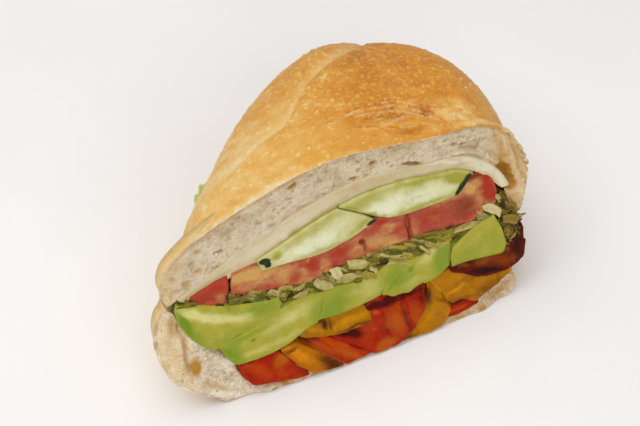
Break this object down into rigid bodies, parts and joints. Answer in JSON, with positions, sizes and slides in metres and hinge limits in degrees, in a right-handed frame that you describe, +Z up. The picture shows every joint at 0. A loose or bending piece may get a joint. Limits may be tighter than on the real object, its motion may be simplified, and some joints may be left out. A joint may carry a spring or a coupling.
{
  "type": "vegetable sandwich half",
  "caption": "Half of a vegetable sandwich on a crusty roll, cut across to show cheese, cucumber, tomato, lettuce, avocado and roasted pepper in layers.",
  "frame": {"origin": "on the flat underside of the heel, 38 mm behind the foot of the cut", "axes": "+X along the cut, left to right as the cut faces the viewer; +Y from the cut into the roll; +Z up"},
  "size_m": [0.1334, 0.09, 0.0665],
  "materials": {
    "crust": "dry baked crust, golden brown, satin where it is darkest",
    "crumb": "dry open bread crumb",
    "cheese": "smooth, slightly oily",
    "cucumber": "wet cut flesh with a dark green skin",
    "tomato": "wet cut flesh and skin",
    "avocado": "soft and oily",
    "lettuce": "moist leaf",
    "pepper_red": "roasted and oily",
    "pepper_orange": "roasted and oily",
    "pepper_yellow": "roasted and oily",
    "pepper_amber": "roasted and oily",
    "pepper_dark": "roasted and oily"
  },
  "bodies": {
    "root": {"crown_bread": "crust", "heel_bread": "crumb", "cheese_slice": "cheese", "cucumber_slice_right": "cucumber", "cucumber_slice_left": "cucumber", "tomato_slice_left": "tomato", "tomato_slice_middle": "tomato", "tomato_slice_right": "tomato", "avocado_slice_1": "avocado", "avocado_slice_2": "avocado", "avocado_slice_3": "avocado", "avocado_slice_4": "avocado", "avocado_slice_5": "avocado", "pepper_strip_1": "pepper_red", "pepper_strip_2": "pepper_orange", "pepper_strip_3": "pepper_red", "pepper_strip_4": "pepper_yellow", "pepper_strip_5": "pepper_red", "pepper_strip_6": "pepper_amber", "pepper_strip_7": "pepper_amber", "pepper_strip_8": "pepper_red", "pepper_strip_9": "pepper_dark", "sprouts": "lettuce", "lettuce": "lettuce", "lettuce_leaf": "lettuce"}
  },
  "joints": []
}
